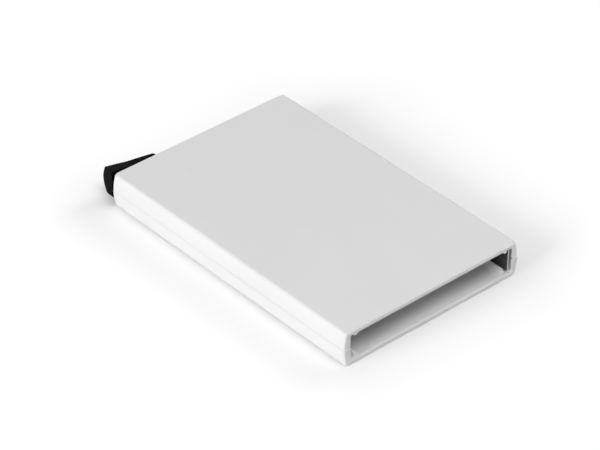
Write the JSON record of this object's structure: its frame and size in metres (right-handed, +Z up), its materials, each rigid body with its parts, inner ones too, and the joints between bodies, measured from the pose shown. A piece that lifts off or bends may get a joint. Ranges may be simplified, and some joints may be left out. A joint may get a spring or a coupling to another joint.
{
  "type": "card holder",
  "caption": "Flat two-part moulded case for bank cards, open at one short end, with a black lever at the back-left corner that pushes the cards out as a fan.",
  "frame": {"origin": "middle of the underside of the case, the lever's fin not counted", "axes": "+Z up through the top plate, +Y from the open mouth to the back wall, +X to the right seen from the mouth"},
  "size_m": [0.0616, 0.0983, 0.0101],
  "materials": {
    "case": "white moulded ABS with a fine satin texture",
    "lever": "black glossy moulded plastic",
    "spring": "blackened spring strip with a bare cut edge",
    "pin": "plain turned steel",
    "screen": "rolled aluminium sheet"
  },
  "bodies": {
    "case": {"upper_shell": "case", "lower_shell": "case", "card_spring": "spring", "lever_pin": "pin", "upper_screen": "screen", "lower_screen": "screen"},
    "lever": {"ejector_lever": "lever"}
  },
  "joints": [
    {"name": "lever_turn", "type": "hinge", "parent": "case", "child": "lever", "pos_m": [-0.0232, 0.0421, 0.00524], "axis": [0, 0, -1], "range_deg": [0, 36]}
  ]
}
